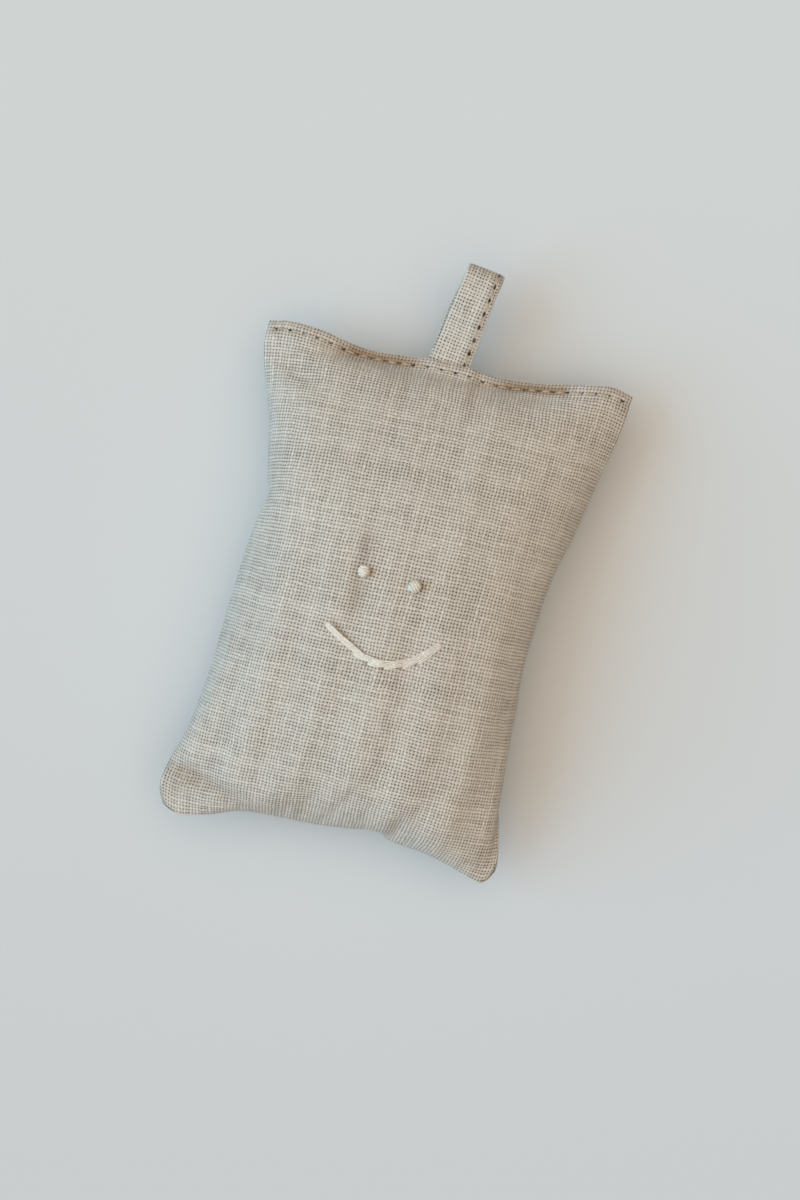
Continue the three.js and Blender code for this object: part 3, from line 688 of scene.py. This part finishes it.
def cloth_grid(side):
    grid = filled[index_front if side > 0 else index_back].copy()
    grid[..., 2] += side * (gap + FOLD_RISE)
    grid = resample(grid, fine_u, fine_v)
    push, painted_shade = small_forms(grid, side)
    grid = grid + push[..., None] * normals_of(grid, side)
    cover_turn_in(grid, side)
    if side < 0:
        grid[..., 2] = table_press(grid[..., 2])
    return grid, painted_shade


(front_grid, front_painted_shade), (back_grid, back_painted_shade) = cloth_grid(1), cloth_grid(-1)
print("fine grid", front_grid.shape, "cells, mm:", in_mm(FLAT_WIDTH / FINE_ACROSS))

# %% [markdown]
# ## The two panels
# Each panel's edge turns in over the seam allowance, as it does once the pouch has been turned
# right side out. A Solidify modifier gives the linen its real thickness and is applied.


# %% Sheets from grids
def grid_sample(values, at_u, at_v, rows_at):
    """Values between the points of a grid whose rows lie at rows_at."""
    a = np.clip(np.interp(at_v, rows_at, np.arange(len(rows_at))), 0, len(rows_at) - 1.001)
    b = np.clip(np.asarray(at_u) * (values.shape[1] - 1), 0, values.shape[1] - 1.001)
    j, i = a.astype(int), b.astype(int)
    fj, fi = (a - j)[..., None], (b - i)[..., None]
    return ((values[j, i] * (1 - fi) + values[j, i + 1] * fi) * (1 - fj)
            + (values[j + 1, i] * (1 - fi) + values[j + 1, i + 1] * fi) * fj)


def ring_of(array):
    return np.concatenate([array[0, :-1], array[:-1, -1], array[-1, :0:-1], array[:0:-1, 0]])


def make_object(name, points, faces, material, uv=None, painted_shade=None):
    mesh = bpy.data.meshes.new(name)
    mesh.from_pydata([tuple(p) for p in points], [], faces)
    if uv is not None:
        layer = mesh.uv_layers.new(name="weave")
        corner = np.empty(len(mesh.loops), int)
        mesh.loops.foreach_get("vertex_index", corner)
        layer.data.foreach_set("uv", np.asarray(uv)[corner].ravel())
    # The mask of painted shade goes into the mesh as a point attribute.
    if painted_shade is not None:
        mask = mesh.attributes.new("painted_shade", "FLOAT", "POINT")
        mask.data.foreach_set("value", np.asarray(painted_shade, float))
    mesh.materials.append(material)
    mesh.polygons.foreach_set("use_smooth", [True] * len(mesh.polygons))
    thing = bpy.data.objects.new(name, mesh)
    bpy.context.scene.collection.objects.link(thing)
    return thing


def wear(thing, slot, *nodes):
    """Gives a piece the pouch as its body and hides the nodes that it stands for; slot is not used.
    """
    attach(thing, "pouch")
    if nodes:
        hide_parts(*nodes)
    return thing


# %% Cut, turn in and thicken the panels
TURN_IN = [(0.0, 0.14 * MM), (0.3 * MM, 0.02 * MM), (ALLOWANCE / 2, 0.0), (ALLOWANCE, 0.0)]
base_rows = np.linspace(0, 1, ALONG + 1)
seam_line = np.concatenate([plan, seam[..., None], gap[..., None]], axis=-1)


def inside_seam(at_u, at_v, inward):
    """Places that lie inward of the seam line, and half the gap between the panels there."""
    share_u, share_v = 1 - 2 * inward / FLAT_WIDTH, 1 - 2 * inward / FLAT_LENGTH
    at_u, at_v = 0.5 + (at_u - 0.5) * share_u, 0.5 + (at_v - 0.5) * share_v
    return grid_sample(seam_line, at_u, at_v, base_rows)


def panel(name, grid, painted_shade, side):
    flat = np.stack(flat_place(FINE_U, FINE_V), axis=-1)
    rim_u, rim_v, rim_painted_shade = ring_of(FINE_U), ring_of(FINE_V), ring_of(painted_shade)
    index = np.arange(FINE_U.size).reshape(FINE_U.shape)
    points, uvs = [grid.reshape(-1, 3)], [flat.reshape(-1, 2)]
    painted_shades, rings = [painted_shade.ravel()], [ring_of(index)]
    for inward, height in TURN_IN:
        at = inside_seam(rim_u, rim_v, inward)
        at[:, 2] += side * (at[:, 3] + height)
        points.append(at[:, :3])
        uvs.append(np.stack([(rim_u - 0.5) * (FLAT_WIDTH + 2 * inward),
                             (rim_v - 0.5) * (FLAT_LENGTH + 2 * inward)], axis=-1))
        painted_shades.append(rim_painted_shade)
        rings.append(rings[-1].max() + 1 + np.arange(len(rim_u)))
    faces = quads(index, side < 0)
    for outer, under in zip(rings, rings[1:]):
        faces += quads(np.stack([np.append(under, under[0]), np.append(outer, outer[0])]), side < 0)
    thing = make_object(name, np.vstack(points), faces, panel_linen, np.vstack(uvs),
                        np.concatenate(painted_shades))
    thick = thing.modifiers.new("cloth thickness", "SOLIDIFY")
    thick.thickness, thick.offset = CLOTH, -1
    thing.data = bpy.data.meshes.new_from_object(
        thing.evaluated_get(bpy.context.evaluated_depsgraph_get()))
    thing.modifiers.clear()
    print(name, len(thing.data.polygons), "faces")
    return wear(thing, "linen")


front_linen = panel("front_linen", front_grid, front_painted_shade, 1)
back_linen = panel("back_linen", back_grid, back_painted_shade, -1)
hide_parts("front_panel")
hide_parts("back_panel")

# %% [markdown]
# ## Sweeping thread
# Sewing thread and each strand of floss is two plies that wind round each other. Each is one
# section with two lobes, swept along the thread's path while it turns, so that the lay of the
# thread is real geometry that catches the light. Strands that run together are joined.


# %% The sweep
TAPER = 3  # points over which the end of a thread narrows


def tube_faces(index, flip=False):
    """Faces of a tube with one ring in each row of index, closed at both ends."""
    first, last = (index[0], index[-1, ::-1]) if flip else (index[0, ::-1], index[-1])
    sides = quads(np.concatenate([index, index[:, :1]], axis=1), flip)
    return sides + [first.tolist(), last.tolist()]


def sweep(path, ups, radius, lay, sides=14, depth=0.28):
    """Points and faces of a twisted thread along path; ups are the directions out of the cloth."""
    path, ups = np.asarray(path, float), np.asarray(ups, float)
    ahead = unit(np.gradient(path, axis=0))
    across = unit(np.cross(ahead, ups))
    up = np.cross(across, ahead)
    run = np.concatenate([[0], np.cumsum(np.linalg.norm(np.diff(path, axis=0), axis=1))])
    angle = np.linspace(0, 2 * np.pi, sides, endpoint=False)
    turned = angle[None] - 2 * np.pi * run[:, None] / lay
    size = radius * (1 - depth + depth * np.abs(np.cos(turned)))
    ends = np.minimum(np.arange(len(path)), np.arange(len(path))[::-1])
    size *= np.sin(np.pi / 2 * np.minimum(1, (ends + 0.6) / TAPER))[:, None]
    points = (path[:, None] + (size * np.cos(angle))[..., None] * across[:, None]
              + (size * np.sin(angle))[..., None] * up[:, None])
    return points.reshape(-1, 3), tube_faces(np.arange(size.size).reshape(size.shape))


def joined(parts):
    """Several swept threads as one mesh."""
    points, faces, base = [], [], 0
    for part_points, part_faces in parts:
        points.append(part_points)
        faces += [[base + k for k in face] for face in part_faces]
        base += len(part_points)
    return np.vstack(points), faces


def sewn(name, path, ups, tacked=0):
    """A sewn thread. Where it is tacked, the machine went back over its first stitch."""
    parts = [sweep(path, ups, THREAD_RADIUS, THREAD_LAY)]
    if tacked:
        over = path[:tacked] + 0.30 * MM * ups[:tacked]
        parts.append(sweep(over, ups[:tacked], 1.6 * THREAD_RADIUS, THREAD_LAY))
    return make_object(name, *joined(parts), sewing_cotton)


def stitch_lift(phase, top, dip):
    """Height of a thread over the cloth: a low arch between holes and a dive at each hole."""
    return -dip + (top + dip) * smoothstep(np.abs(phase - np.round(phase)) * 2, 0.34, 0.78)


# %% [markdown]
# ## Top-stitching
# The lockstitch shows as short bars of thread between needle holes, in a row just below the
# folded edge. The needle thread shows on the front and the bobbin thread on the back.

# %% Top seam threads
ARCH, DIVE = 0.02 * MM, 0.50 * MM
STITCHES = int((FLAT_WIDTH - 2 * END_MARGIN) / STITCH)
phase = np.linspace(0, STITCHES, STITCHES * 12 + 1)
at_u = (FIRST_HOLE + phase * STITCH) / FLAT_WIDTH + 0.5
at_v = np.full_like(at_u, TOP_LINE / FLAT_LENGTH + 0.5)
for name, node, grid, side in (("top_needle_cotton", "top_seam_needle_thread", front_grid, 1),
                               ("top_bobbin_cotton", "top_seam_bobbin_thread", back_grid, -1)):
    at = grid_sample(grid, at_u, at_v, fine_v)
    up = grid_sample(normals_of(grid, side), at_u, at_v, fine_v)
    lift = stitch_lift(phase, ARCH, DIVE)
    wear(sewn(name, at + lift[:, None] * up, up, tacked=7), "sewing_thread", node)
print("stitches in the top seam:", STITCHES)

# %% [markdown]
# ## The hanging loop
# The loop is a strip of the same linen, folded lengthwise and edge-stitched, then folded in two
# and caught in the top seam by both ends. It is one piece from end to end, so it is swept as one.

# %% The tape's way
LEAN = math.radians(8.2)
LOOP_REACH = loop_end - hinge.y - 0.7 * MM
OPEN_HALF = 3.4 * MM
TAIL = 8.0 * MM
LEG_HALF = 0.5 * MM
BACK_LEG_ASIDE = -0.85 * MM
EDGE_ACROSS = 3.3 * MM
FIRST_LOOP_HOLE = -1.6 * MM
straight_end = LOOP_REACH / math.cos(LEAN) - OPEN_HALF - TAPE_THICKNESS / 2


def tape_line(count):
    """The middle of the tape seen from the side: along the loop, above the seam, and the run."""
    leg = np.linspace(-TAIL, straight_end, 240)
    apart = LEG_HALF + (OPEN_HALF - LEG_HALF) * smoothstep(leg, -0.5 * MM, straight_end - 4 * MM)
    bend = np.linspace(0, np.pi, 80)[1:-1]
    along = np.concatenate([leg, straight_end + OPEN_HALF * np.sin(bend), leg[::-1]])
    above = np.concatenate([apart, OPEN_HALF * np.cos(bend), -apart[::-1]])
    run = np.concatenate([[0], np.cumsum(np.hypot(np.diff(along), np.diff(above)))])
    at = np.linspace(0, run[-1], count)
    return np.interp(at, run, along), np.interp(at, run, above), at


def to_loop(across, along, above):
    x = hinge.x + across * math.cos(LEAN) + along * math.sin(LEAN)
    y = hinge.y - across * math.sin(LEAN) + along * math.cos(LEAN)
    return np.stack([x, y, SEAM_HEIGHT + above], axis=-1)


along, above, run = tape_line(190)
ahead = unit(np.stack([np.gradient(along), np.gradient(above)], axis=1))
out_along, out_above = -ahead[:, 1], ahead[:, 0]
slide = BACK_LEG_ASIDE * smoothstep(run / run[-1], 0.5, 0.75)
first_run = TAIL + FIRST_LOOP_HOLE
print("tape length, mm:", in_mm(run[-1]))

# %% The tape's section and skin
half = TAPE_WIDTH / 2
side_x = half * np.sin(np.linspace(-np.pi / 2, np.pi / 2, 26))
side_z = TAPE_THICKNESS / 2 * np.sqrt(np.maximum(0, 1 - np.abs(side_x / half) ** 7))
side_z -= 0.08 * MM * bell(side_x - EDGE_ACROSS, 0.7 * MM)
profile_x = np.concatenate([side_x, side_x[-2:0:-1]])
profile_z = np.concatenate([side_z, -side_z[-2:0:-1]])
off = (run - first_run) / STITCH
off = (off - np.round(off)) * STITCH
dents = 0.11 * MM * bell(np.hypot(off[:, None], profile_x[None] - EDGE_ACROSS), 0.5 * MM)
height = profile_z[None] - np.sign(profile_z)[None] * dents
outer = np.sign(profile_x) * (np.abs(profile_x) > half * 0.7)
wander = 0.12 * MM * np.sin(run / (5.3 * MM))[:, None] * outer[None]
tape_points = to_loop(profile_x[None] + wander + slide[:, None],
                      along[:, None] + out_along[:, None] * height,
                      above[:, None] + out_above[:, None] * height)
girth = np.concatenate([[0], np.cumsum(np.hypot(np.diff(profile_x), np.diff(profile_z)))])
on_front = np.arange(len(profile_x)) < len(side_x)
girth = np.where(on_front, profile_x, half + girth - girth[len(side_x) - 1])
tape_uv = np.stack(np.broadcast_arrays(girth[None], run[:, None]), axis=-1).reshape(-1, 2)
# Painted shade along the groove of the tape's edge stitching.
tape_painted_shade = 0.40 * bell(profile_x[None] - EDGE_ACROSS, 0.8 * MM)
tape_painted_shade = np.broadcast_to(tape_painted_shade, height.shape).ravel()
tape_faces = tube_faces(np.arange(height.size).reshape(height.shape), True)
tape_linen = linen("natural_linen_tape",
                   needle_holes(EDGE_ACROSS, first_run, False, 0.78 * MM, 0.50 * MM, 0.85))
tape = make_object("loop_tape", tape_points.reshape(-1, 3), tape_faces, tape_linen, tape_uv,
                   tape_painted_shade)
print("tape points:", len(tape_uv))
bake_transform(tape)
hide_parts("hanging_loop", "loop_tails")

# %% The tape's edge stitching
TAPE_ARCH, TAPE_DIVE, SUNK = 0.06 * MM, 0.34 * MM, 0.14 * MM
TAPE_STITCHES = int((run[-1] - 2 * first_run) / STITCH)
phase = np.linspace(0, TAPE_STITCHES, TAPE_STITCHES * 12 + 1)
at_run = first_run + phase * STITCH
pick = [np.interp(at_run, run, values) for values in (along, above, out_along, out_above, slide)]
for name, node, side in (("loop_needle_cotton", "loop_edge_needle_thread", 1),
                         ("loop_bobbin_cotton", "loop_edge_bobbin_thread", -1)):
    lift = side * (TAPE_THICKNESS / 2 - SUNK + stitch_lift(phase, TAPE_ARCH, TAPE_DIVE))
    path = to_loop(EDGE_ACROSS + pick[4], pick[0] + pick[2] * lift, pick[1] + pick[3] * lift)
    up = to_loop(0 * phase, pick[2] * side, pick[3] * side) - np.array(hinge)
    thread = sewn(name, path, up)
    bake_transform(thread)
    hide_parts(node)
print("stitches in the tape:", TAPE_STITCHES)

# %% [markdown]
# ## The stitched face
# The eyes are knots: floss is wound four times round the needle, and the needle is drawn through
# the coil, which lies down on the cloth as a small ribbed bead. The smile is a row of overlapping
# stem stitches, each a straight bundle of strands that dives into the cloth at both ends.


# %% Floss on the cloth
def above_cloth(x, y):
    """The point of the front panel over x and y, and the direction out of it."""
    near = np.argsort((front_points[:, 0] - x) ** 2 + (front_points[:, 1] - y) ** 2)[:4]
    far = np.hypot(front_points[near, 0] - x, front_points[near, 1] - y) + 0.01 * MM
    weight = (1 / far) / (1 / far).sum()
    up = (front_ups[near] * weight[:, None]).sum(0)
    return np.array([x, y, (front_points[near, 2] * weight).sum()]), up / np.linalg.norm(up)


front_points = front_grid.reshape(-1, 3)
front_ups = normals_of(front_grid, 1).reshape(-1, 3)

# %% Knots for eyes
WRAPS = 4
KNOT_STRAND, FLOSS_LAY = 0.34 * MM, 3 * MM
KNOT_SUNK, FLOSS_DIVE = 0.35 * MM, 1.3 * MM


def knot(name, node, place, axis_angle, across):
    """A coil that lies on the cloth, with the floss drawn back through its middle."""
    centre, up = above_cloth(*place)
    along = np.array([math.cos(axis_angle), math.sin(axis_angle), 0.0])
    along -= up * np.dot(along, up)
    along /= np.linalg.norm(along)
    side_way = np.cross(up, along)
    radius = across / 2 - KNOT_STRAND
    length = across - 2 * KNOT_STRAND
    t = np.linspace(0, 1, 36 * WRAPS)
    angle = 2 * np.pi * WRAPS * t - np.pi / 2
    reach = radius * np.sqrt(1 - 0.85 * (2 * t - 1) ** 2)
    middle = centre + up * (radius + KNOT_STRAND - KNOT_SUNK)
    centre_line = middle + np.outer((t - 0.5) * length, along)
    outward = np.outer(np.cos(angle), side_way) + np.outer(np.sin(angle), up)
    back = np.linspace(0, 1, 14)[:, None]
    core = middle + (0.5 - back) * (length + 0.5 * MM) * along - FLOSS_DIVE * back ** 4 * up
    coil = centre_line + reach[:, None] * outward
    parts = [sweep(coil, outward, KNOT_STRAND, FLOSS_LAY, depth=0.16),
             sweep(core, np.tile(up, (len(core), 1)), 0.6 * radius, FLOSS_LAY)]
    return wear(make_object(name, *joined(parts), cream_floss), "floss", node)


knot("left_knot", "left_eye_knot", EYES["left"], math.radians(84), 3.0 * MM)
knot("right_knot", "right_eye_knot", EYES["right"], math.radians(38), 3.1 * MM)
print("knots of", WRAPS, "wraps")

# %% The smile
STRAND_RADIUS, STRAND_LAY = 0.20 * MM, 2.6 * MM
STRANDS = ((-0.56, 0.00), (-0.19, 0.14), (0.18, 0.04), (0.56, 0.10))  # aside and up, in mm
STRAND_DIVE, STRAND_RISE = 0.55, 0.84  # in mm
for number, (first, last, aside) in enumerate(stem_stitches):
    t = np.linspace(0, 1, 30)
    spread = (0.66 + 0.34 * np.sin(np.pi * t)) * (1 + 0.05 * number)
    strands = []
    for sideways, raised in STRANDS:
        flat_path = first + t[:, None] * (last - first) + np.outer(spread * sideways * MM, aside)
        spots = [above_cloth(*place) for place in flat_path]
        ups = np.array([spot[1] for spot in spots])
        lift = -STRAND_DIVE * MM + (STRAND_RISE + raised) * MM * np.sin(np.pi * t) ** 0.38
        path = np.array([spot[0] for spot in spots]) + lift[:, None] * ups
        strands.append(sweep(path, ups, STRAND_RADIUS, STRAND_LAY, sides=12, depth=0.22))
    stitch = make_object(f"smile_stitch_{number + 1}", *joined(strands), cream_floss)
    wear(stitch, "floss", *(["smile_stitches"] if number == 0 else []))
print("smile stitches:", len(stem_stitches))

# %% [markdown]
# ## The filling and the inside seams
# Dried lavender buds are slim ribbed barrels, grey violet, about four millimetres long. They only
# show when the pouch is opened, so the heap is a skin of buds that lies just under the cloth.

# %% Lavender buds
BUD_VIOLET, BUD_GREY = "#6f6a86", "#8d8a7c"
lavender, shader, add = new_material("dried_lavender_buds", 0.9)
mottle = add("TexNoise", {"Vector": add("NewGeometry"), "Scale": 1 / (4 * MM), "Detail": 3.0})
spread = add("MapRange", (mottle, 0.35, 0.65, 0.0, 1.0), **SOFTLY)
colour = add("Mix", {0: spread, 6: linear(BUD_VIOLET), 7: linear(BUD_GREY)}, **COLOURS)
bump = add("Bump", {"Strength": 0.6, "Distance": 0.3 * MM, "Height": mottle})
finish_material(lavender, shader, colour, bump)

rng = np.random.default_rng(7)
BUD_LENGTH, BUD_RADIUS, BUDS, BUD_SIDES = 4.0 * MM, 0.9 * MM, 1300, 6
bud_profile = [(0.0, 0.08), (0.15, 0.6), (0.4, 1.0), (0.75, 0.9), (1.0, 0.25)]
points, faces = [], []
for grid, side in ((front_grid, 1), (back_grid, -1)):
    places = rng.uniform(0.10, 0.90, (BUDS, 2))
    spots = grid_sample(grid, places[:, 0], places[:, 1], fine_v)
    ups = grid_sample(normals_of(grid, side), places[:, 0], places[:, 1], fine_v)
    for spot, up, heading in zip(spots, ups, rng.normal(size=(BUDS, 3))):
        ahead = np.cross(up, heading)
        ahead /= np.linalg.norm(ahead)
        across = np.cross(up, ahead)
        spot = spot - up * (CLOTH + 1.9 * BUD_RADIUS)
        base = len(points)
        for share, wide in bud_profile:
            for a in np.arange(BUD_SIDES) * 2 * np.pi / BUD_SIDES:
                points.append(spot + ahead * (share - 0.5) * BUD_LENGTH
                              + (across * np.cos(a) + up * np.sin(a)) * BUD_RADIUS * wide)
        bud = base + np.arange(len(bud_profile) * BUD_SIDES).reshape(-1, BUD_SIDES)
        faces += tube_faces(bud, True)
wear(make_object("lavender_buds", points, faces, lavender), "lavender", "lavender_filling")
print("buds:", 2 * BUDS)

# %% Inside seam threads
SEAM_INSET, ZIGZAG = 2.0 * MM, 0.25 * MM
INSIDE_SEAMS = (("left_inside_cotton", "left_seam_thread", (0, 0), (0.04, 0.82)),
                ("right_inside_cotton", "right_seam_thread", (1, 1), (0.04, 0.82)),
                ("bottom_inside_cotton", "bottom_seam_thread", (0.06, 0.94), (0, 0)))
for name, node, ends_u, ends_v in INSIDE_SEAMS:
    length = (ends_v[1] - ends_v[0]) * FLAT_LENGTH + (ends_u[1] - ends_u[0]) * FLAT_WIDTH
    count = int(length / STITCH)
    t = np.linspace(0, 1, count * 8 + 1)
    at_u, at_v = (ends[0] + t * (ends[1] - ends[0]) for ends in (ends_u, ends_v))
    path = inside_seam(at_u, at_v, SEAM_INSET)[:, :3]
    path[:, 2] += ZIGZAG * np.cos(np.pi * t * count)
    wear(sewn(name, path, np.tile((0.0, 0.0, 1.0), (len(t), 1))), "sewing_thread", node)
    print(node, "stitches:", count)
